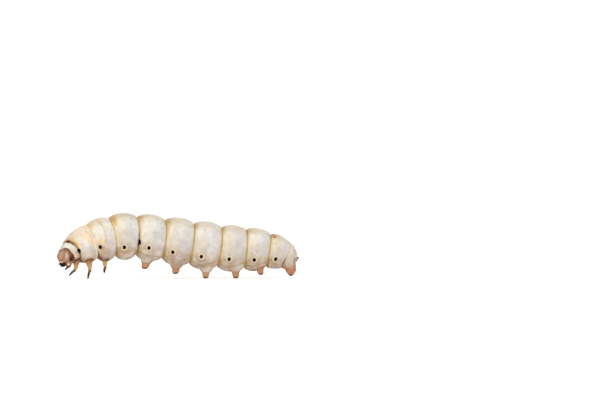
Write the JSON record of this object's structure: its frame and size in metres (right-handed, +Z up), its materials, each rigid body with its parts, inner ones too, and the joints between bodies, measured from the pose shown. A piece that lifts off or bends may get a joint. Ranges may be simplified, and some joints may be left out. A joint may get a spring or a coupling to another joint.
{
  "type": "silkworm larva model",
  "caption": "Life-size silkworm larva, standing: rounded segments, brown head turned to its left, hooked true legs, stubby prolegs and a small horn",
  "frame": {"origin": "on the floor under the middle of the bounding box", "axes": "the larva walks towards -X, its left is -Y and +Z is up"},
  "size_m": [0.0258, 0.0066, 0.0069],
  "materials": {
    "skin": "soft ivory skin, slightly shiny",
    "capsule": "smooth brown head capsule",
    "mouthparts": "dark hard mouthparts",
    "legs": "amber jointed legs with dark claws",
    "prolegs": "soft pinkish brown fleshy legs"
  },
  "bodies": {
    "root": {"head": "capsule", "mandible_left": "mouthparts", "mandible_right": "mouthparts", "labium": "mouthparts", "antenna_left": "legs", "antenna_right": "legs", "prothorax": "skin", "mesothorax": "skin", "metathorax": "skin", "abdomen_1": "skin", "abdomen_2": "skin", "abdomen_3": "skin", "abdomen_4": "skin", "abdomen_5": "skin", "abdomen_6": "skin", "abdomen_7": "skin", "anal_segment": "skin", "leg_1_left": "legs", "leg_1_right": "legs", "leg_2_left": "legs", "leg_2_right": "legs", "leg_3_left": "legs", "leg_3_right": "legs", "proleg_1_left": "prolegs", "proleg_1_right": "prolegs", "proleg_2_left": "prolegs", "proleg_2_right": "prolegs", "proleg_3_left": "prolegs", "proleg_3_right": "prolegs", "proleg_4_left": "prolegs", "proleg_4_right": "prolegs", "proleg_5_left": "prolegs", "proleg_5_right": "prolegs", "anal_proleg_left": "prolegs", "anal_proleg_right": "prolegs"}
  },
  "joints": []
}
